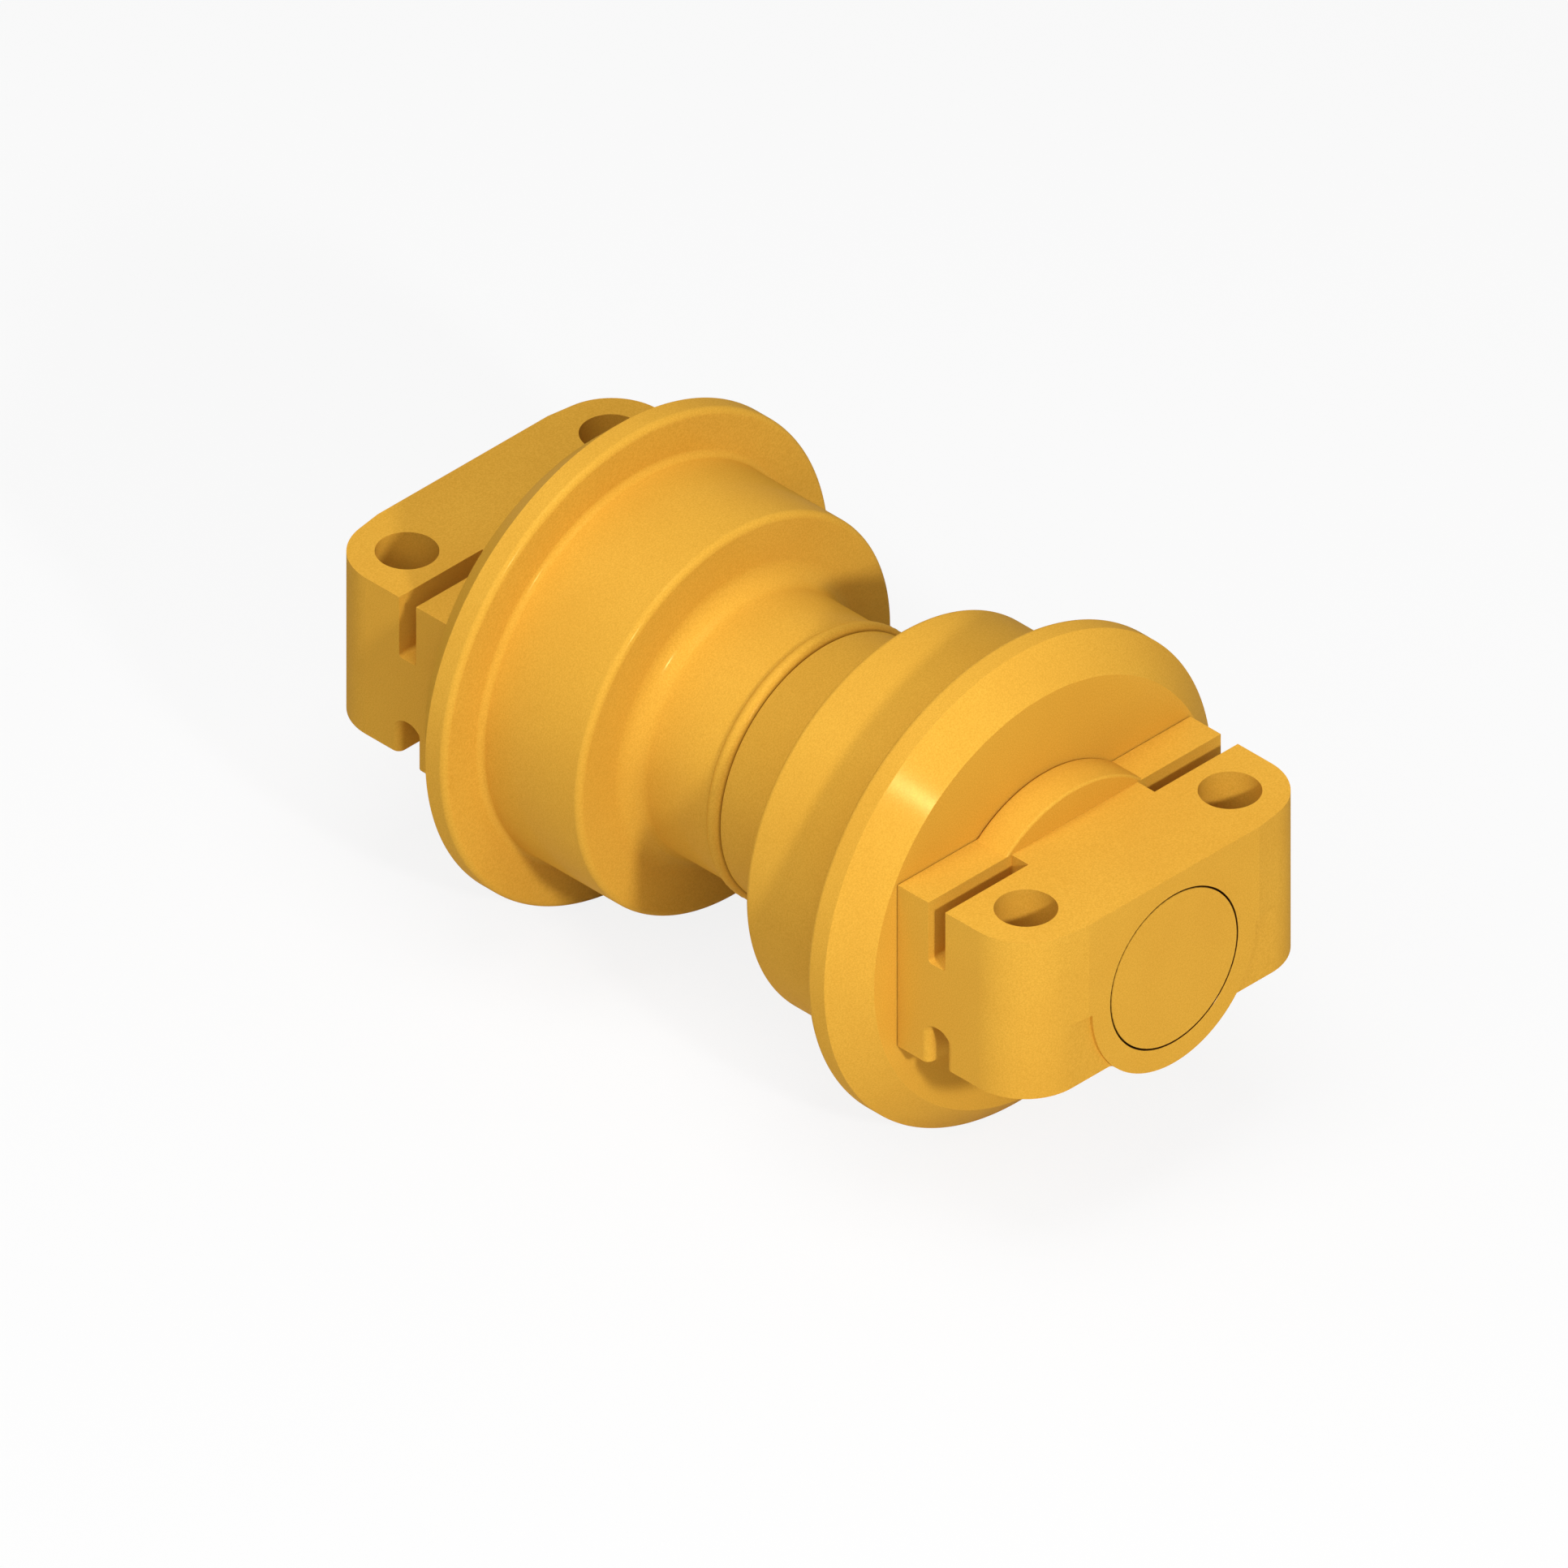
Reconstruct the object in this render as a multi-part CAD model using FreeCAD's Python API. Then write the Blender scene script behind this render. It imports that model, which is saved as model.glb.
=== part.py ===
import FreeCAD, Part
import math
import os
from FreeCAD import Vector

# Single flange track roller, in millimetres.
# The origin is the middle of the roller on the shaft axis. Y runs along the shaft,
# X along the track and Z up, towards the track frame that the collars bolt to.
# Left is +Y and right is -Y. The pieces of one side are made on +Y and mirrored.

# Roller shell
hub_radius = 61.8
hub_half_length = 48.5
hub_fillet = 10.0
tread_radius = 92.5
tread_width = 57.8
tread_edge_round = 3.2
tread_root_fillet = 3.2
flange_height = 21.5
flange_nose_round = 3.0
flange_crest = 8.0
flange_chamfer = 14.7
hub_wall = 9.8
reservoir_half_length = 40.0
reservoir_round = 4.0
bushing_seat_wall = 6.0

# Weld that joins the two shell halves
weld_half_width = 3.7
weld_root_half_width = 1.6
weld_depth = 6.5
weld_crown = 2.6
weld_toe = 0.5

# Shaft
shaft_radius = 37.5
shaft_lead_in = 4.0
shaft_lead_in_height = 0.8
shaft_waist_cut = 1.0
oil_bore_radius = 6.0
oil_port_radius = 5.0

# Bushings, flanged at their outer ends
bushing_wall = 4.5
bushing_flange_width = 5.0
bushing_flange_height = 8.0
bushing_chamfer = 1.0

# Floating seals
seal_cord_radius = 4.0
seal_ramp_degrees = 12.0
seal_ring_wall = 2.6
seal_lip_width = 3.0
seal_lip_height = 6.0
seal_pocket_depth = 12.0

# End collars
collar_half_length = 86.0
plate_thickness = 18.0
plate_drop = 35.0
slot_width = 10.0
slot_depth = 30.2
slot_root_round = 1.8
bridge_wall = 3.5
top_height = 47.0
web_drop = 14.5
notch_width = 10.2
notch_round = 4.9
notch_edge_round = 3.3
block_width = 48.65
block_drop = 32.5
block_corner_radius = 27.3
disc_wall = 5.35
disc_edge_round = 1.2
boss_wall = 10.5
boss_height = 1.55
boss_fillet = 5.0
pad_margin = 2.0
collar_hub_wall = 4.6
collar_bore_chamfer = 0.2

# Bolt holes of the collars, for M24 bolts
bolt_hole_radius = 13.5
bolt_spacing_along_track = 120.0
bolt_inset = 25.7
spot_face_radius = 20.5
spot_face_depth = 0.8

# Collar pins, pressed in from below
pin_radius = 7.0
pin_engagement = 18.0
pin_recess = 2.5
pin_chamfer = 1.0

# O-rings between shaft and collars
o_ring_cord_radius = 1.7
o_ring_groove_width = 4.6
o_ring_inset = 8.0

# Oil plug in the left shaft end
plug_thread_radius = 10.0
plug_thread_length = 14.0
plug_head_radius = 14.0
plug_head_height = 5.0
plug_head_recess = 1.0
plug_hexagon = 10.0
plug_hexagon_depth = 7.0
plug_seal_thickness = 1.5

# Clearances
running_gap = 0.6
bearing_play = 0.05
collar_play = 0.03
thrust_play = 0.3
seal_face_gap = 0.1
seat_clearance = 0.2
seal_bore_gap = 1.9
seal_tail_gap = 1.25
seal_floor_gap = 0.3
rubber_seat = 0.03

# Places along the shaft, worked out from the sizes above
flange_face = hub_half_length + tread_width
roller_end = flange_face + flange_nose_round + flange_crest + flange_chamfer
plate_back = roller_end + running_gap
seal_plane = roller_end + running_gap / 2
plate_front = plate_back + plate_thickness
block_back = plate_front + slot_width
collar_end = block_back + block_width
cast_face = collar_end - boss_height
bolt_line = cast_face - bolt_inset
roller_pocket_floor = roller_end - seal_pocket_depth
collar_pocket_floor = plate_back + seal_pocket_depth
bushing_flange_face = roller_pocket_floor
bushing_seat_face = bushing_flange_face - bushing_flange_width
collar_hub_end = bushing_flange_face + thrust_play
bushing_end = reservoir_half_length + bushing_seat_wall
o_ring_line = plate_back + o_ring_inset
slot_floor = top_height - slot_depth
notch_side = plate_front + notch_width

# Radii of the roller that follow from each other
flange_radius = tread_radius + flange_height
reservoir_radius = hub_radius - hub_wall

# Radii that follow from the shaft
bushing_bore_radius = shaft_radius + bearing_play
bushing_radius = bushing_bore_radius + bushing_wall
bushing_flange_radius = bushing_radius + bushing_flange_height
flange_seat_radius = bushing_flange_radius + seat_clearance
collar_bore_radius = shaft_radius + collar_play
collar_hub_radius = collar_bore_radius + collar_hub_wall
o_ring_groove_radius = collar_bore_radius - 2 * o_ring_cord_radius - 2 * rubber_seat
boss_radius = collar_bore_radius + boss_wall
bridge_half_length = math.sqrt(collar_bore_radius ** 2 - slot_floor ** 2) + bridge_wall
pin_length = boss_radius - pin_recess - shaft_radius + pin_engagement

# The rubber ring of a floating seal sits halfway between two parallel ramps.
seal_floor_distance = seal_plane - roller_pocket_floor
seal_cord_distance = seal_floor_distance - seal_cord_radius - seal_floor_gap
seal_ring_length = seal_floor_distance - seal_face_gap / 2 - seal_tail_gap
seal_ramp = math.radians(seal_ramp_degrees)
seal_ramp_gap = seal_cord_radius / math.cos(seal_ramp)
seal_ring_bore_radius = collar_hub_radius + seal_bore_gap
seal_ring_outer_radius = seal_ring_bore_radius + seal_ring_wall
seal_cord_centre = seal_ring_outer_radius + seal_ramp_gap


def point(along, out):
    """Point of a revolved outline: along the shaft and out from its axis."""
    return Vector(out, along, 0)


def rounded_wire(corners):
    """Closed wire through corners (point, radius), each rounded with its radius."""
    edges = []
    stops = []
    count = len(corners)
    for index, (here, radius) in enumerate(corners):
        before = corners[index - 1][0]
        after = corners[(index + 1) % count][0]
        stops.append(corner_arc(before, here, after, radius))
    for index, (start, middle, end) in enumerate(stops):
        if middle is not None:
            edges.append(Part.Arc(start, middle, end).toShape())
        following = stops[(index + 1) % count][0]
        if end.distanceToPoint(following) > 1e-6:
            edges.append(Part.LineSegment(end, following).toShape())
    return Part.Wire(edges)


def corner_arc(before, here, after, radius):
    """Start, middle and end of the arc that rounds a corner."""
    if radius <= 0:
        return here, None, here
    back = (before - here).normalize()
    ahead = (after - here).normalize()
    half_angle = back.getAngle(ahead) / 2
    reach = radius / math.tan(half_angle)
    bisector = (back + ahead).normalize()
    depth = radius / math.sin(half_angle) - radius
    return here + back * reach, here + bisector * depth, here + ahead * reach


def revolved(outline):
    """Solid of revolution about the shaft axis from (along, out, round) corners."""
    corners = [(point(along, out), radius) for along, out, radius in outline]
    face = Part.Face(rounded_wire(corners))
    return face.revolve(Vector(0, 0, 0), Vector(0, 1, 0), 360)


def prism_along_x(outline, half_length):
    """Prism along X from (y, z, round) corners, centred on the shaft."""
    corners = [(Vector(-half_length, y, z), radius) for y, z, radius in outline]
    return Part.Face(rounded_wire(corners)).extrude(Vector(2 * half_length, 0, 0))


def prism_along_z(outline, low, high):
    """Upright prism from (x, y, round) corners, from z = low to z = high."""
    corners = [(Vector(x, y, low), radius) for x, y, radius in outline]
    return Part.Face(rounded_wire(corners)).extrude(Vector(0, 0, high - low))


def ring_along_y(outer, inner, start, end):
    """Plain ring about the shaft axis."""
    return revolved([(start, inner, 0), (end, inner, 0), (end, outer, 0), (start, outer, 0)])


def rod_along_y(radius, start, end):
    """Plain rod on the shaft axis."""
    return Part.makeCylinder(radius, end - start, Vector(0, start, 0), Vector(0, 1, 0))


def cord_ring(distance, centre_radius, cord_radius):
    """Rubber ring of round section about the shaft axis."""
    return Part.makeTorus(centre_radius, cord_radius, Vector(0, distance, 0), Vector(0, 1, 0))


def mirrored(shape):
    """The same piece on the other side of the roller."""
    return shape.mirror(Vector(0, 0, 0), Vector(0, 1, 0))


def ramp_radius(distance, side):
    """Radius of the seal ramp at a distance from the seal plane; side is -1 in, +1 out."""
    slope = (seal_cord_distance - distance) * math.tan(seal_ramp)
    return seal_cord_centre + side * seal_ramp_gap + slope


# The seal pockets of roller and collar mirror each other about the seal plane.
pocket_mouth = ramp_radius(running_gap / 2, 1)
pocket_root = ramp_radius(seal_floor_distance, 1)
disc_radius = pocket_mouth + disc_wall


def roller_shell():
    """One half of the roller: hub, tread and flange round the bushing bore."""
    return revolved([
        (0, reservoir_radius, 0),
        (0, hub_radius - weld_depth, 0),
        (weld_root_half_width, hub_radius - weld_depth, 0),
        (weld_half_width, hub_radius - weld_toe, 0),
        (weld_half_width + weld_toe, hub_radius, 0),
        (hub_half_length, hub_radius, hub_fillet),
        (hub_half_length, tread_radius, tread_edge_round),
        (flange_face, tread_radius, tread_root_fillet),
        (flange_face, flange_radius, flange_nose_round),
        (roller_end - flange_chamfer, flange_radius, 0),
        (roller_end, flange_radius - flange_chamfer, 0),
        (roller_end, pocket_mouth, 0),
        (roller_pocket_floor, pocket_root, 0),
        (roller_pocket_floor, flange_seat_radius, 0),
        (bushing_seat_face, flange_seat_radius, 0),
        (bushing_seat_face, bushing_radius, 0),
        (reservoir_half_length, bushing_radius, 0),
        (reservoir_half_length, reservoir_radius, reservoir_round),
    ])


def weld_ring():
    """Weld in the groove between the shell halves, with its raised bead."""
    root = hub_radius - weld_depth
    shoulder = hub_radius - weld_toe
    crown = hub_radius + weld_crown
    flank = Vector(shoulder, weld_half_width, 0)
    edges = [
        Part.LineSegment(point(-weld_root_half_width, root), point(weld_root_half_width, root)),
        Part.LineSegment(point(weld_root_half_width, root), flank),
        Part.Arc(flank, point(0, crown), point(-weld_half_width, shoulder)),
        Part.LineSegment(point(-weld_half_width, shoulder), point(-weld_root_half_width, root)),
    ]
    face = Part.Face(Part.Wire([edge.toShape() for edge in edges]))
    return face.revolve(Vector(0, 0, 0), Vector(0, 1, 0), 360)


def bushing():
    """Flanged bushing pressed into the shell, running on the shaft."""
    inner = bushing_bore_radius
    return revolved([
        (bushing_end, inner + bushing_chamfer, 0),
        (bushing_end, bushing_radius - bushing_chamfer, 0),
        (bushing_end + bushing_chamfer, bushing_radius, 0),
        (bushing_seat_face, bushing_radius, 0),
        (bushing_seat_face, bushing_flange_radius, 0),
        (bushing_flange_face, bushing_flange_radius, bushing_chamfer),
        (bushing_flange_face, inner, bushing_chamfer),
        (bushing_end + bushing_chamfer, inner, 0),
    ])


def seal_ring():
    """Metal ring of the roller side, with its lapped face by the seal plane."""
    face = seal_face_gap / 2
    lip_back = face + seal_lip_width
    tail = face + seal_ring_length
    lip_radius = seal_ring_outer_radius + seal_lip_height
    outline = [
        (face, seal_ring_bore_radius, 0),
        (face, lip_radius, 0),
        (lip_back, lip_radius, 0),
        (lip_back, ramp_radius(lip_back, -1), 0),
        (tail, ramp_radius(tail, -1), 0),
        (tail, seal_ring_bore_radius, 0),
    ]
    return revolved([(seal_plane - along, out, radius) for along, out, radius in outline])


def rubber_ring():
    """Rubber ring of the roller side, held between the two ramps."""
    return cord_ring(seal_plane - seal_cord_distance, seal_cord_centre, seal_cord_radius - rubber_seat)


def across_seal(shape):
    """The matching piece on the collar side of the seal plane."""
    return shape.mirror(Vector(0, seal_plane, 0), Vector(0, 1, 0))


def collar_section():
    """Plate, web and block above the lower notch, in one section with the bolting slot."""
    outline = [
        (plate_back, top_height, 0),
        (plate_front, top_height, 0),
        (plate_front, slot_floor, slot_root_round),
        (block_back, slot_floor, slot_root_round),
        (block_back, top_height, 0),
        (cast_face, top_height, 0),
        (cast_face, -web_drop, 0),
        (plate_back, -web_drop, 0),
    ]
    return prism_along_x(outline, collar_half_length)


def collar_plan(start, round_at_start, low, high):
    """Upright prism out to the cast face, its outer corners rounded about the bolt holes."""
    length = collar_half_length
    outline = [
        (-length, start, round_at_start),
        (-length, cast_face, block_corner_radius),
        (length, cast_face, block_corner_radius),
        (length, start, round_at_start),
    ]
    return prism_along_z(outline, low, high)


def plate_leg():
    """Lower part of the plate, its outer upright edges rounded."""
    length = collar_half_length
    outline = [
        (-length, plate_back, 0),
        (-length, plate_front, notch_edge_round),
        (length, plate_front, notch_edge_round),
        (length, plate_back, 0),
    ]
    return prism_along_z(outline, -plate_drop, -web_drop)


def block_foot():
    """Lower part of the block, its upright edges in the notch rounded."""
    return collar_plan(notch_side, notch_edge_round, -block_drop, -web_drop)


def roof_fillet(wall, outward):
    """Fillet between the notch roof and a wall, carried round the wall's upright edges."""
    length = collar_half_length
    straight = length - notch_edge_round
    low = -web_drop - notch_round
    inset = notch_edge_round / 2
    halfway = notch_round * (1 - math.sqrt(0.5))
    start = Vector(-straight, wall, low)
    out = Vector(0, outward, 0)
    up = Vector(0, 0, 1)
    end = start + out * notch_round + up * notch_round
    edges = [
        Part.Arc(start, start + out * halfway + up * (notch_round - halfway), end).toShape(),
        Part.LineSegment(end, start - out * inset + up * notch_round).toShape(),
        Part.LineSegment(start - out * inset + up * notch_round, start - out * inset).toShape(),
        Part.LineSegment(start - out * inset, start).toShape(),
    ]
    profile = Part.Face(Part.Wire(edges))
    fillet = profile.extrude(Vector(2 * straight, 0, 0))
    corner = Vector(-straight, wall - outward * notch_edge_round, low)
    flare = profile.revolve(corner, up, 90 * outward)
    far_flare = flare.mirror(Vector(0, 0, 0), Vector(1, 0, 0))
    slab = Part.makeBox(2 * length, 4 * length, 2 * length, Vector(-length, 0, -length))
    return fillet.fuse([flare, far_flare]).common(slab)


def collar_bridge():
    """Solid stretch between plate and block in the middle of the slot."""
    width = 2 * bridge_half_length
    height = top_height + web_drop
    corner = Vector(-bridge_half_length, plate_front, -web_drop)
    return Part.makeBox(width, slot_width, height, corner)


def seal_disc():
    """Round housing of the seal, standing above and below the plate."""
    return revolved([
        (plate_back, shaft_radius, 0),
        (plate_front, shaft_radius, 0),
        (plate_front, disc_radius, disc_edge_round),
        (plate_back, disc_radius, disc_edge_round),
    ])


def end_pad():
    """Raised flat above the axis, whose sides run out on the rounded corners."""
    edge = boss_radius + pad_margin
    centre = Vector(collar_half_length - block_corner_radius, cast_face - block_corner_radius, 0)
    offset = Vector(edge, collar_end, 0) - centre
    swing = math.acos(block_corner_radius / offset.Length)
    angle = math.atan2(offset.y, offset.x) - swing
    touch_x = centre.x + block_corner_radius * math.cos(angle)
    touch_y = centre.y + block_corner_radius * math.sin(angle)
    outline = [
        (-centre.x, centre.y, 0),
        (-touch_x, touch_y, 0),
        (-edge, collar_end, 0),
        (edge, collar_end, 0),
        (touch_x, touch_y, 0),
        (centre.x, centre.y, 0),
    ]
    return prism_along_z(outline, 0, top_height)


def shaft_boss():
    """Lower half of the boss round the shaft, from the disc to the outer face."""
    boss = rod_along_y(boss_radius, plate_front, collar_end)
    reach = 2 * boss_radius
    below = Part.makeBox(reach, collar_end, boss_radius, Vector(-boss_radius, 0, -boss_radius))
    return boss.common(below)


def boss_fillets():
    """Fillets between the boss and the underside of the block."""
    spread = boss_radius + boss_fillet
    drop = block_drop + boss_fillet
    centre_x = math.sqrt(spread ** 2 - drop ** 2)
    inset = boss_radius / spread
    sides = []
    for side in (-1, 1):
        centre = Vector(side * centre_x, notch_side, -drop)
        on_block = Vector(side * centre_x, notch_side, -block_drop)
        on_boss = Vector(centre.x * inset, notch_side, centre.z * inset)
        chord = ((on_block + on_boss) / 2 - centre).normalize()
        inside = Vector(on_boss.x * inset, notch_side, -block_drop + boss_fillet)
        edges = [
            Part.Arc(on_block, centre + chord * boss_fillet, on_boss).toShape(),
            Part.LineSegment(on_boss, inside).toShape(),
            Part.LineSegment(inside, on_block).toShape(),
        ]
        face = Part.Face(Part.Wire(edges))
        sides.append(face.extrude(Vector(0, cast_face - notch_side, 0)))
    return sides


def collar_cuts():
    """Everything bored out of a collar: seal pocket, shaft bore and bolt holes."""
    pocket = revolved([
        (plate_back, 0, 0),
        (plate_back, pocket_mouth, 0),
        (collar_pocket_floor, pocket_root, 0),
        (collar_pocket_floor, 0, 0),
    ])
    bore = revolved([
        (plate_back, 0, 0),
        (plate_back, collar_bore_radius, 0),
        (collar_end - collar_bore_chamfer, collar_bore_radius, 0),
        (collar_end, collar_bore_radius + collar_bore_chamfer, 0),
        (collar_end, 0, 0),
    ])
    cuts = [pocket, bore]
    for side in (-1, 1):
        x = side * bolt_spacing_along_track / 2
        foot = Vector(x, bolt_line, -boss_radius)
        cuts.append(Part.makeCylinder(bolt_hole_radius, boss_radius + top_height, foot))
        face_top = spot_face_depth - block_drop
        cuts.append(Part.makeCylinder(spot_face_radius, face_top + boss_radius, foot))
    return cuts


def pin_hole():
    """Upright hole through the boss and into the shaft."""
    depth = pin_recess + pin_length
    return Part.makeCylinder(pin_radius, depth, Vector(0, bolt_line, -boss_radius))


def end_collar():
    """Cast end collar: seal housing, plate, slot, web, bolting block and shaft boss."""
    body = collar_section().common(collar_plan(plate_back, 0, -web_drop, top_height))
    lower = [plate_leg(), block_foot(), roof_fillet(plate_front, 1), roof_fillet(notch_side, -1)]
    body = body.multiFuse(lower).removeSplitter()
    pieces = [collar_bridge(), seal_disc(), end_pad(), shaft_boss()]
    body = body.multiFuse(pieces + boss_fillets()).removeSplitter()
    body = body.cut(collar_cuts())
    hub = ring_along_y(collar_hub_radius, collar_bore_radius, collar_hub_end, collar_pocket_floor)
    body = body.fuse(hub).cut(pin_hole())
    return body.removeSplitter()


def o_ring():
    """O-ring in the shaft groove, under the collar."""
    centre = o_ring_groove_radius + rubber_seat + o_ring_cord_radius
    return cord_ring(o_ring_line, centre, o_ring_cord_radius)


def collar_pin():
    """Straight pin that locks a collar to the shaft."""
    foot = Vector(0, bolt_line, -boss_radius + pin_recess)
    pin = Part.makeCylinder(pin_radius, pin_length, foot)
    rims = [edge for edge in pin.Edges if edge.Closed]
    return pin.makeChamfer(pin_chamfer, rims)


def plug_axis_solid(radius, depth_from_end, length):
    """Rod on the shaft axis that starts at a depth below the left shaft end."""
    return rod_along_y(radius, collar_end - depth_from_end - length, collar_end - depth_from_end)


def shaft():
    """Fixed shaft with its journals, seal grooves, oil passages and pin holes."""
    end = collar_end
    waist = shaft_radius - shaft_waist_cut
    half = [
        (reservoir_half_length, waist, 0),
        (bushing_end, shaft_radius, 0),
        (o_ring_line - o_ring_groove_width / 2, shaft_radius, 0),
        (o_ring_line - o_ring_groove_width / 2, o_ring_groove_radius, 0),
        (o_ring_line + o_ring_groove_width / 2, o_ring_groove_radius, 0),
        (o_ring_line + o_ring_groove_width / 2, shaft_radius, 0),
        (end - shaft_lead_in, shaft_radius, 0),
        (end, shaft_radius - shaft_lead_in_height, 0),
        (end, 0, 0),
    ]
    other = [(-along, out, radius) for along, out, radius in reversed(half)]
    body = revolved(other + half)
    head_depth = plug_head_recess + plug_head_height + plug_seal_thickness
    cuts = [
        plug_axis_solid(plug_head_radius + seat_clearance, 0, head_depth),
        plug_axis_solid(plug_thread_radius, 0, head_depth + plug_thread_length),
        rod_along_y(oil_bore_radius, 0, end),
        Part.makeCylinder(oil_port_radius, 2 * shaft_radius, Vector(0, 0, -shaft_radius)),
        pin_hole(),
        mirrored(pin_hole()),
    ]
    return body.cut(cuts)


def oil_plug():
    """Threaded plug with a hexagon socket, sunk in the left shaft end."""
    head_depth = plug_head_recess + plug_head_height
    head = plug_axis_solid(plug_head_radius, plug_head_recess, plug_head_height)
    stem = plug_axis_solid(plug_thread_radius, head_depth, plug_seal_thickness + plug_thread_length)
    reach = plug_hexagon / math.sqrt(3)
    start = collar_end - plug_head_recess
    corners = []
    for index in range(6):
        angle = math.radians(60 * index)
        corners.append((Vector(reach * math.cos(angle), start, reach * math.sin(angle)), 0))
    socket = Part.Face(rounded_wire(corners)).extrude(Vector(0, -plug_hexagon_depth, 0))
    return head.fuse(stem).cut(socket).removeSplitter()


def plug_sealing_ring():
    """Flat sealing ring under the head of the plug."""
    start = collar_end - plug_head_recess - plug_head_height - plug_seal_thickness
    inner = plug_thread_radius + seat_clearance
    return ring_along_y(plug_head_radius, inner, start, start + plug_seal_thickness)


def both_sides(name, shape):
    """A piece and its mirror image, named for their sides."""
    return {name + "_left": shape, name + "_right": mirrored(shape)}


def all_parts():
    """Every node of the roller, by name."""
    parts = {"shaft": shaft(), "weld_ring": weld_ring()}
    parts.update(both_sides("roller_shell", roller_shell()))
    parts.update(both_sides("bushing", bushing()))
    parts.update(both_sides("seal_ring_roller", seal_ring()))
    parts.update(both_sides("rubber_ring_roller", rubber_ring()))
    parts.update(both_sides("seal_ring_collar", across_seal(seal_ring())))
    parts.update(both_sides("rubber_ring_collar", across_seal(rubber_ring())))
    parts.update(both_sides("end_collar", end_collar()))
    parts.update(both_sides("o_ring", o_ring()))
    parts.update(both_sides("collar_pin", collar_pin()))
    parts["oil_plug"] = oil_plug()
    parts["plug_sealing_ring"] = plug_sealing_ring()
    return parts


os.makedirs("parts", exist_ok=True)
for name, shape in all_parts().items():
    shape.exportStep("parts/" + name + ".step")
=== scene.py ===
import math

import bmesh
import bpy
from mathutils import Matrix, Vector


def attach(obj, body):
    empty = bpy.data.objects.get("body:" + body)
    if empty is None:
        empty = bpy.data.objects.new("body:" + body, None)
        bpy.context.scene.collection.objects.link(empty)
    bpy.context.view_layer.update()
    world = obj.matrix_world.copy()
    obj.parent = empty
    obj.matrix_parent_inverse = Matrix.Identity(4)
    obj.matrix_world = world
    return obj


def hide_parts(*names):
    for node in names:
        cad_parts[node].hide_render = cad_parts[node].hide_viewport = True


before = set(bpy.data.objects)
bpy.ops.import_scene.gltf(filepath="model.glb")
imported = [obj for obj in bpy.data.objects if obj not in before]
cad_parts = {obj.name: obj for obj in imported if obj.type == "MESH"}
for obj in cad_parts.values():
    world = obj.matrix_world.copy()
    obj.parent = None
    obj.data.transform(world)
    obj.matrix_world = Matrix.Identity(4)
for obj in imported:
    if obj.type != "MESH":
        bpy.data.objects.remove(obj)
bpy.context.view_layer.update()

# Looks of the single flange track roller, in metres, in the frame of its solids.
# Y runs along the shaft, Z points up to the track frame. Left is +Y, right is -Y.

# Paint, as linear colours
GOLD = (0.718, 0.388, 0.050)
GOLD_DEEP = (0.674, 0.352, 0.044)
GOLD_SPECK = (0.50, 0.245, 0.016)
# Near-black for painted shade in the shaft joint and along the weld toes, with some grime in the
# joint
GRIME_AND_SHADE = (0.070, 0.027, 0.004)

# Share of the speck colour where the paint's grain is darkest
SPECKLE = 0.45

# Gloss: a little metal tints the highlights, and a thin coat whitens their middle
PAINT_ROUGHNESS = (0.145, 0.185)
PAINT_METALLIC = 0.0085
COAT_WEIGHT = 0.034
COAT_ROUGHNESS = 0.165

# Scales of the surface noises, in cells a metre
PATCH_SCALE = 17.0
GLOSS_SCALE = 60.0
CAST_SCALE = 260.0
GRAIN_SCALE = 1500.0
RING_SCALE = 40.0
STAIN_SCALE = 45.0
BLOOM_SCALE = 70.0

# How much finer the rings of a turned metal are along the shaft than round it
RING_STRETCH = 90.0

# Noise values between which the thing that a noise drives goes from one end to the other
NOISE_LOW = 0.3
NOISE_HIGH = 0.7
BLOOM_LOW = 0.35

# Heights of the bumps on cast paint, paint grain, turned rings and moulded rubber
CAST_HEIGHT = 0.00012
GRAIN_HEIGHT = 0.00005
RING_HEIGHT = 0.00004
RUBBER_HEIGHT = 0.00004

# Rubber, as linear colours
RUBBER_BLACK = (0.012, 0.012, 0.013)
RUBBER_BLOOM = (0.03, 0.03, 0.031)

# Roller half, from its middle outwards
HUB_RADIUS = 0.0618
HUB_HALF_LENGTH = 0.0485
HUB_FILLET = 0.010
TREAD_RADIUS = 0.0925
TREAD_EDGE_ROUND = 0.0032
TREAD_ROOT_FILLET = 0.0032
FLANGE_FACE = 0.1063
FLANGE_RADIUS = 0.114
FLANGE_NOSE_ROUND = 0.003
FLANGE_CHAMFER = 0.0147
ROLLER_END = 0.132
POCKET_DEPTH = 0.012
POCKET_MOUTH = 0.0564
POCKET_ROOT = 0.0539
BUSHING_RADIUS = 0.04205
BUSHING_SEAT_RADIUS = 0.05025
BUSHING_SEAT_WIDTH = 0.005
RESERVOIR_RADIUS = 0.052
RESERVOIR_HALF_LENGTH = 0.040
RESERVOIR_ROUND = 0.004
EDGE_ROUND = 0.0004

# Joint round the shaft end, painted dark for the shade in its gap and for some grime, by
# distance from the axis, and how wide the darkening fades
SHAFT_FACE_RADIUS = 0.03672
COLLAR_BORE_RADIUS = 0.0376
JOINT_FADE = 0.00008

# Weld between the halves
WELD_ROOT = 0.0553
WELD_ROOT_HALF_WIDTH = 0.0016
WELD_HALF_WIDTH = 0.0037
WELD_TOE = 0.0005
WELD_CROWN = 0.0026
WELD_STEPS = 20
WELD_RIPPLES = 96
RIPPLE_DEPTH = 0.00016
RIPPLE_BEND = 3.0

# Painted shade along the weld's toes: how far it climbs the bead and how dark it is
TOE_SHADE_HEIGHT = 0.0009
TOE_SHADE = 0.4

# Faces round a turned piece, and the weight of its large faces in shading, where 50 is even
TURNS = 288
FLAT_WEIGHT = 90

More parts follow.
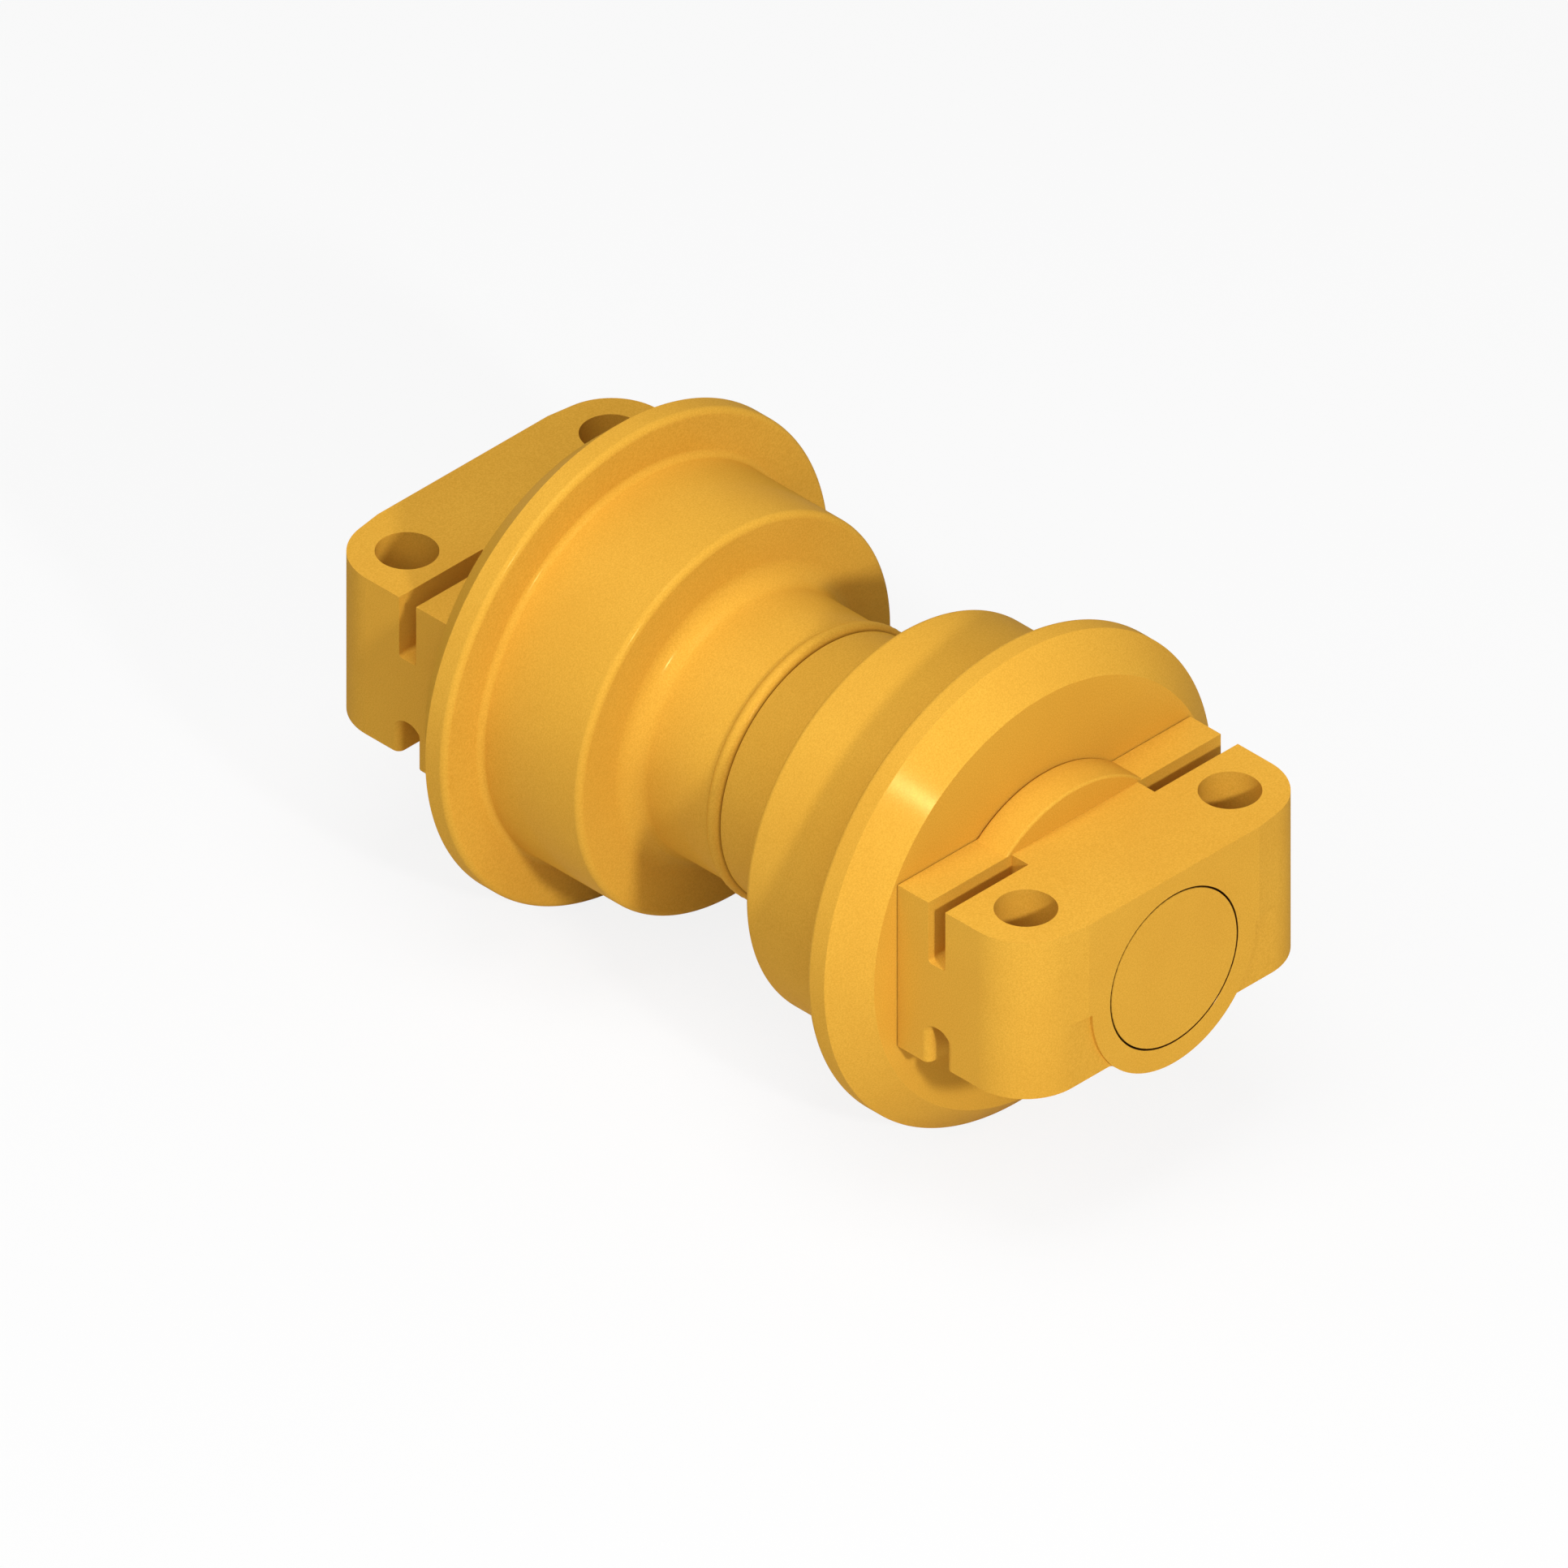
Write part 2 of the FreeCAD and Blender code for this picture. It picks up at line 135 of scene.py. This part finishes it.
# Floor: grey that lights the object, and grey and glow that the camera sees
FLOOR_HALF_SIZE = 6.0
FLOOR_GREY = 0.7
SEEN_GREY = 0.1
SEEN_GLOW = 0.86

# Even light from all round, and the white behind the object
AMBIENT = 0.108
BACKDROP = 0.97

# Picture frame: its width, the point in its middle and the camera's distance from it
VIEW_WIDTH = 0.65205
VIEW_MIDDLE = Vector((-0.013737, 0.006547, -0.007192))
VIEW_DISTANCE = 2.0


def new_nodes(name):
    """Empty material with its node tree, a principled shader and an output."""
    material = bpy.data.materials.new(name)
    material.use_nodes = True
    tree = material.node_tree
    tree.nodes.clear()
    output = tree.nodes.new("ShaderNodeOutputMaterial")
    shader = tree.nodes.new("ShaderNodeBsdfPrincipled")
    tree.links.new(shader.outputs["BSDF"], output.inputs["Surface"])
    return material, tree, shader


def own_place(tree, stretch=None):
    """Place in the piece's own space, so that what it drives turns with the piece."""
    place = tree.nodes.new("ShaderNodeTexCoord").outputs["Object"]
    if stretch:
        mapping = tree.nodes.new("ShaderNodeMapping")
        mapping.inputs["Scale"].default_value = stretch
        tree.links.new(place, mapping.inputs["Vector"])
        place = mapping.outputs["Vector"]
    return place


def noise(tree, scale, detail, stretch=None):
    """Noise over the piece, finer along an axis that is stretched."""
    texture = tree.nodes.new("ShaderNodeTexNoise")
    texture.inputs["Scale"].default_value = scale
    texture.inputs["Detail"].default_value = detail
    tree.links.new(own_place(tree, stretch), texture.inputs["Vector"])
    return texture.outputs["Fac"]


def remap(tree, value, low, high, to_low, to_high):
    """A value moved from one range to another, held at both ends."""
    node = tree.nodes.new("ShaderNodeMapRange")
    node.inputs["From Min"].default_value = low
    node.inputs["From Max"].default_value = high
    node.inputs["To Min"].default_value = to_low
    node.inputs["To Max"].default_value = to_high
    tree.links.new(value, node.inputs["Value"])
    return node.outputs["Result"]


def blended(tree, factor, first, second):
    """Mix of two colours, each a plain colour or a socket."""
    node = tree.nodes.new("ShaderNodeMix")
    node.data_type = "RGBA"
    tree.links.new(factor, node.inputs["Factor"])
    # Sockets 6 and 7 are the node's two colours, and output 2 is their mix
    for socket, colour in ((node.inputs[6], first), (node.inputs[7], second)):
        if isinstance(colour, tuple):
            socket.default_value = colour + (1.0,)
        else:
            tree.links.new(colour, socket)
    return node.outputs[2]


def raised(tree, heights):
    """Bump from (height, strength, distance) layers."""
    below = None
    for height, strength, distance in heights:
        node = tree.nodes.new("ShaderNodeBump")
        node.inputs["Strength"].default_value = strength
        node.inputs["Distance"].default_value = distance
        tree.links.new(height, node.inputs["Height"])
        if below is not None:
            tree.links.new(below, node.inputs["Normal"])
        below = node.outputs["Normal"]
    return below


def axis_distance(tree):
    """Distance from the shaft axis."""
    length = tree.nodes.new("ShaderNodeVectorMath")
    length.operation = "LENGTH"
    tree.links.new(own_place(tree, (1.0, 0.0, 1.0)), length.inputs[0])
    return length.outputs["Value"]


def paint(name, cast, edge=None):
    """Gold-yellow machine enamel; cast is how rough the metal under it is, from 0 to 1.

    edge is (plain radius, dark radius, darkness) round the shaft axis, darkness from 0 to 1:
    painted shade, with some grime in the shaft joint.
    """
    material, tree, shader = new_nodes(name)
    patches = remap(tree, noise(tree, PATCH_SCALE, 3.0), NOISE_LOW, NOISE_HIGH, 0.0, 1.0)
    grain = noise(tree, GRAIN_SCALE, 1.0)
    speckle = remap(tree, grain, NOISE_LOW, NOISE_HIGH, 0.0, SPECKLE)
    colour = blended(tree, patches, GOLD, GOLD_DEEP)
    colour = blended(tree, speckle, colour, GOLD_SPECK)
    if edge:
        plain_radius, dark_radius, darkness = edge
        # Painted shade near the given radius round the shaft axis, with some grime in the shaft
        # joint
        shade_and_grime = remap(tree, axis_distance(tree), plain_radius, dark_radius, 0.0, darkness)
        colour = blended(tree, shade_and_grime, colour, GRIME_AND_SHADE)
    tree.links.new(colour, shader.inputs["Base Color"])
    gloss = remap(tree, noise(tree, GLOSS_SCALE, 3.0), NOISE_LOW, NOISE_HIGH, *PAINT_ROUGHNESS)
    tree.links.new(gloss, shader.inputs["Roughness"])
    shader.inputs["Metallic"].default_value = PAINT_METALLIC
    shader.inputs["Specular IOR Level"].default_value = 0.0
    shader.inputs["Coat Weight"].default_value = COAT_WEIGHT
    shader.inputs["Coat Roughness"].default_value = COAT_ROUGHNESS
    normal = raised(tree, (
        (noise(tree, CAST_SCALE, 2.0), 0.1 + 0.25 * cast, CAST_HEIGHT),
        (grain, 0.12, GRAIN_HEIGHT),
    ))
    tree.links.new(normal, shader.inputs["Normal"])
    return material


def metal(name, bright, dark, roughness):
    """Bare machined metal with fine rings round the shaft axis."""
    material, tree, shader = new_nodes(name)
    rings = noise(tree, RING_SCALE, 3.0, (1.0, RING_STRETCH, 1.0))
    stains = remap(tree, noise(tree, STAIN_SCALE, 4.0), NOISE_LOW, NOISE_HIGH, 0.0, 1.0)
    tree.links.new(blended(tree, stains, bright, dark), shader.inputs["Base Color"])
    rough = remap(tree, rings, NOISE_LOW, NOISE_HIGH, roughness - 0.06, roughness + 0.08)
    tree.links.new(rough, shader.inputs["Roughness"])
    shader.inputs["Metallic"].default_value = 1.0
    normal = raised(tree, ((rings, 0.25, RING_HEIGHT),))
    tree.links.new(normal, shader.inputs["Normal"])
    return material


def rubber(name):
    """Black moulded rubber with a dull bloom."""
    material, tree, shader = new_nodes(name)
    bloom = remap(tree, noise(tree, BLOOM_SCALE, 4.0), BLOOM_LOW, NOISE_HIGH, 0.0, 1.0)
    colour = blended(tree, bloom, RUBBER_BLACK, RUBBER_BLOOM)
    tree.links.new(colour, shader.inputs["Base Color"])
    rough = remap(tree, bloom, 0.0, 1.0, 0.5, 0.68)
    tree.links.new(rough, shader.inputs["Roughness"])
    normal = raised(tree, ((noise(tree, GRAIN_SCALE, 2.0), 0.2, RUBBER_HEIGHT),))
    tree.links.new(normal, shader.inputs["Normal"])
    return material


def rounded(corners):
    """Closed outline from (along, out, round, steps) corners as (along, out) points."""
    points = []
    count = len(corners)
    for index, (along, out, radius, steps) in enumerate(corners):
        here = Vector((along, out))
        if radius == 0.0:
            points.append((along, out))
            continue
        back = (Vector(corners[index - 1][:2]) - here).normalized()
        ahead = (Vector(corners[(index + 1) % count][:2]) - here).normalized()
        half = back.angle(ahead) / 2
        middle = here + (back + ahead).normalized() * (radius / math.sin(half))
        start = here + back * (radius / math.tan(half)) - middle
        end = here + ahead * (radius / math.tan(half)) - middle
        sweep = math.atan2(start.x * end.y - start.y * end.x, start.dot(end))
        for step in range(steps + 1):
            angle = sweep * step / steps
            arm = Vector((
                start.x * math.cos(angle) - start.y * math.sin(angle),
                start.x * math.sin(angle) + start.y * math.cos(angle),
            ))
            spot = middle + arm
            points.append((spot.x, spot.y))
    return points


def lathed(name, points, ripple=None):
    """Ring turned from a closed outline, its flats kept flat by weighted normals.

    ripple(angle, along, out) moves its surface.
    """
    mesh = bmesh.new()
    rows = []
    for turn in range(TURNS):
        angle = 2 * math.pi * turn / TURNS
        row = []
        for along, out in points:
            reach = out + (ripple(angle, along, out) if ripple else 0.0)
            row.append(mesh.verts.new((reach * math.cos(angle), along, reach * math.sin(angle))))
        rows.append(row)
    for turn, row in enumerate(rows):
        following = rows[(turn + 1) % TURNS]
        for index in range(len(points)):
            beside = (index + 1) % len(points)
            mesh.faces.new((row[index], row[beside], following[beside], following[index]))
    bmesh.ops.recalc_face_normals(mesh, faces=mesh.faces)
    for face in mesh.faces:
        face.smooth = True
    data = bpy.data.meshes.new(name)
    mesh.to_mesh(data)
    mesh.free()
    piece = bpy.data.objects.new(name, data)
    bpy.context.scene.collection.objects.link(piece)
    shading = piece.modifiers.new("flats", "WEIGHTED_NORMAL")
    shading.mode = "FACE_AREA"
    shading.weight = FLAT_WEIGHT
    return piece


def dress(piece, body, material, node):
    """Puts a piece in the place of a node: its body, slot and material."""
    piece.data.materials.clear()
    piece.data.materials.append(material)
    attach(piece, body)
    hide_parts(node)


def shell_outline(side):
    """Outline of a roller half, on the left for side 1 and on the right for side -1."""
    pocket_floor = ROLLER_END - POCKET_DEPTH
    seat = pocket_floor - BUSHING_SEAT_WIDTH
    corners = [
        (0.0, RESERVOIR_RADIUS, 0, 1),
        (0.0, WELD_ROOT, 0, 1),
        (WELD_ROOT_HALF_WIDTH, WELD_ROOT, 0, 1),
        (WELD_HALF_WIDTH, HUB_RADIUS - WELD_TOE, 0, 1),
        (WELD_HALF_WIDTH + WELD_TOE, HUB_RADIUS, 0, 1),
        (HUB_HALF_LENGTH, HUB_RADIUS, HUB_FILLET, 16),
        (HUB_HALF_LENGTH, TREAD_RADIUS, TREAD_EDGE_ROUND, 12),
        (FLANGE_FACE, TREAD_RADIUS, TREAD_ROOT_FILLET, 10),
        (FLANGE_FACE, FLANGE_RADIUS, FLANGE_NOSE_ROUND, 12),
        (ROLLER_END - FLANGE_CHAMFER, FLANGE_RADIUS, EDGE_ROUND, 3),
        (ROLLER_END, FLANGE_RADIUS - FLANGE_CHAMFER, EDGE_ROUND, 4),
        (ROLLER_END, POCKET_MOUTH, EDGE_ROUND, 3),
        (pocket_floor, POCKET_ROOT, 0, 1),
        (pocket_floor, BUSHING_SEAT_RADIUS, 0, 1),
        (seat, BUSHING_SEAT_RADIUS, 0, 1),
        (seat, BUSHING_RADIUS, 0, 1),
        (RESERVOIR_HALF_LENGTH, BUSHING_RADIUS, 0, 1),
        (RESERVOIR_HALF_LENGTH, RESERVOIR_RADIUS, RESERVOIR_ROUND, 6),
    ]
    return [(side * along, out) for along, out in rounded(corners)]


def weld_outline():
    """Outline of the weld between the roller halves."""
    crown = HUB_RADIUS + WELD_CROWN
    rise = WELD_CROWN + WELD_TOE
    radius = (WELD_HALF_WIDTH ** 2 + rise ** 2) / (2 * rise)
    spread = math.atan2(WELD_HALF_WIDTH, radius - rise)
    points = [(-WELD_ROOT_HALF_WIDTH, WELD_ROOT), (WELD_ROOT_HALF_WIDTH, WELD_ROOT)]
    for step in range(WELD_STEPS + 1):
        angle = spread * (1 - 2 * step / WELD_STEPS)
        points.append((radius * math.sin(angle), crown - radius + radius * math.cos(angle)))
    return points


def weld_ripple(angle, along, out):
    """Shallow overlapping crescents that a welding pass leaves on its bead."""
    height = max(0.0, out - HUB_RADIUS) / WELD_CROWN
    phase = WELD_RIPPLES * angle + RIPPLE_BEND * (along / WELD_HALF_WIDTH) ** 2
    return -RIPPLE_DEPTH * height * abs(math.sin(phase / 2))


roller_paint = paint("roller_enamel", 0.25)
# Painted shade along the weld's toes
weld_toe_shade = (HUB_RADIUS + TOE_SHADE_HEIGHT, HUB_RADIUS, TOE_SHADE)
# Painted shade, with some grime, in the joint between the collar bore and the shaft end
bore_edge = (COLLAR_BORE_RADIUS + JOINT_FADE, COLLAR_BORE_RADIUS, 1.0)
shaft_edge = (SHAFT_FACE_RADIUS, SHAFT_FACE_RADIUS + JOINT_FADE, 1.0)
weld_paint = paint("weld_enamel", 0.6, weld_toe_shade)
collar_paint = paint("collar_enamel", 1.0, bore_edge)
shaft_paint = paint("shaft_enamel", 0.1, shaft_edge)
plug_paint = paint("plug_enamel", 0.2)
bronze = metal("bronze_lining", (0.78, 0.52, 0.24), (0.55, 0.34, 0.15), 0.3)
iron = metal("lapped_iron", (0.42, 0.42, 0.43), (0.30, 0.30, 0.31), 0.34)
steel = metal("ground_steel", (0.60, 0.60, 0.61), (0.47, 0.47, 0.48), 0.3)
copper = metal("soft_copper", (0.80, 0.45, 0.30), (0.60, 0.30, 0.19), 0.36)
black = rubber("nitrile_rubber")

for name, side in (("left", 1), ("right", -1)):
    half = lathed("roller_half_" + name, shell_outline(side))
    dress(half, "roller", roller_paint, "roller_shell_" + name)
bead = lathed("weld_bead", weld_outline(), weld_ripple)
dress(bead, "roller", weld_paint, "weld_ring")

finishes = {
    "end_collar": collar_paint, "shaft": shaft_paint, "oil_plug": plug_paint,
    "bushing": bronze, "seal_ring": iron, "rubber_ring": black, "o_ring": black,
    "collar_pin": steel, "plug_sealing_ring": copper,
}
for node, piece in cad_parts.items():
    for start, material in finishes.items():
        if node.startswith(start):
            piece.data.materials.clear()
            piece.data.materials.append(material)


def sees_backdrop(tree):
    """1 for the rays that show the white background: camera, mirror and glass rays."""
    path = tree.nodes.new("ShaderNodeLightPath")
    shown = path.outputs["Is Camera Ray"]
    for ray in ("Is Glossy Ray", "Is Transmission Ray"):
        both = tree.nodes.new("ShaderNodeMath")
        both.operation = "MAXIMUM"
        tree.links.new(shown, both.inputs[0])
        tree.links.new(path.outputs[ray], both.inputs[1])
        shown = both.outputs[0]
    return shown


def stage_floor():
    """Pale floor that shows white to the camera and keeps a soft shadow."""
    half = FLOOR_HALF_SIZE
    low = -FLANGE_RADIUS
    corners = [(-half, -half, low), (half, -half, low), (half, half, low), (-half, half, low)]
    data = bpy.data.meshes.new("floor")
    data.from_pydata(corners, [], [(0, 1, 2, 3)])
    floor = bpy.data.objects.new("floor", data)
    bpy.context.scene.collection.objects.link(floor)
    material = bpy.data.materials.new("pale_floor")
    material.use_nodes = True
    tree = material.node_tree
    tree.nodes.clear()
    output = tree.nodes.new("ShaderNodeOutputMaterial")
    plain = tree.nodes.new("ShaderNodeBsdfDiffuse")
    plain.inputs["Color"].default_value = (FLOOR_GREY, FLOOR_GREY, FLOOR_GREY, 1)
    shaded = tree.nodes.new("ShaderNodeBsdfDiffuse")
    shaded.inputs["Color"].default_value = (SEEN_GREY, SEEN_GREY, SEEN_GREY, 1)
    glow = tree.nodes.new("ShaderNodeEmission")
    glow.inputs["Color"].default_value = (1, 1, 1, 1)
    glow.inputs["Strength"].default_value = SEEN_GLOW
    seen = tree.nodes.new("ShaderNodeAddShader")
    tree.links.new(shaded.outputs[0], seen.inputs[0])
    tree.links.new(glow.outputs[0], seen.inputs[1])
    choice = tree.nodes.new("ShaderNodeMixShader")
    tree.links.new(sees_backdrop(tree), choice.inputs[0])
    tree.links.new(plain.outputs[0], choice.inputs[1])
    tree.links.new(seen.outputs[0], choice.inputs[2])
    tree.links.new(choice.outputs[0], output.inputs["Surface"])
    data.materials.append(material)


def surroundings():
    """Even light from all round, white where the camera sees it."""
    world = bpy.data.worlds.new("studio")
    bpy.context.scene.world = world
    world.use_nodes = True
    tree = world.node_tree
    tree.nodes.clear()
    output = tree.nodes.new("ShaderNodeOutputWorld")
    ambient = tree.nodes.new("ShaderNodeBackground")
    ambient.inputs["Color"].default_value = (1, 1, 1, 1)
    ambient.inputs["Strength"].default_value = AMBIENT
    backdrop = tree.nodes.new("ShaderNodeBackground")
    backdrop.inputs["Color"].default_value = (1, 1, 1, 1)
    backdrop.inputs["Strength"].default_value = BACKDROP
    choice = tree.nodes.new("ShaderNodeMixShader")
    tree.links.new(sees_backdrop(tree), choice.inputs[0])
    tree.links.new(ambient.outputs[0], choice.inputs[1])
    tree.links.new(backdrop.outputs[0], choice.inputs[2])
    tree.links.new(choice.outputs[0], output.inputs["Surface"])


def lamp(name, direction, distance, size, power):
    """Round lamp, size across in metres and power in watts, that shines from a direction."""
    data = bpy.data.lights.new(name, "AREA")
    data.shape = "DISK"
    data.size = size
    data.energy = power
    lit = bpy.data.objects.new(name, data)
    away = Vector(direction).normalized()
    lit.location = away * distance
    lit.rotation_mode = "QUATERNION"
    lit.rotation_quaternion = away.to_track_quat("Z", "Y")
    bpy.context.scene.collection.objects.link(lit)


stage_floor()
surroundings()
lamp("key", (-0.305, -0.837, 0.453), 2.6, 0.2, 35.7)
lamp("overhead", (-0.1, -0.1, 1.0), 2.4, 1.6, 34.7)
lamp("side", (-1.0, 0.0, 1.0), 2.4, 1.6, 12.3)
lamp("front", (-1.0, -1.0, 1.0), 2.4, 1.6, 11.3)
lamp("back", (-0.3, 1.0, 1.0), 2.4, 1.6, 5.0)

camera = bpy.data.objects.new("camera", bpy.data.cameras.new("camera"))
camera.data.type = "ORTHO"
camera.data.ortho_scale = VIEW_WIDTH
camera.data.clip_end = 10.0
to_camera = Vector((-1.0, -1.0, 1.0)).normalized()
camera.location = VIEW_MIDDLE + to_camera * VIEW_DISTANCE
camera.rotation_mode = "QUATERNION"
camera.rotation_quaternion = to_camera.to_track_quat("Z", "Y")
bpy.context.scene.collection.objects.link(camera)
bpy.context.scene.camera = camera
bpy.context.scene.view_settings.view_transform = "Standard"
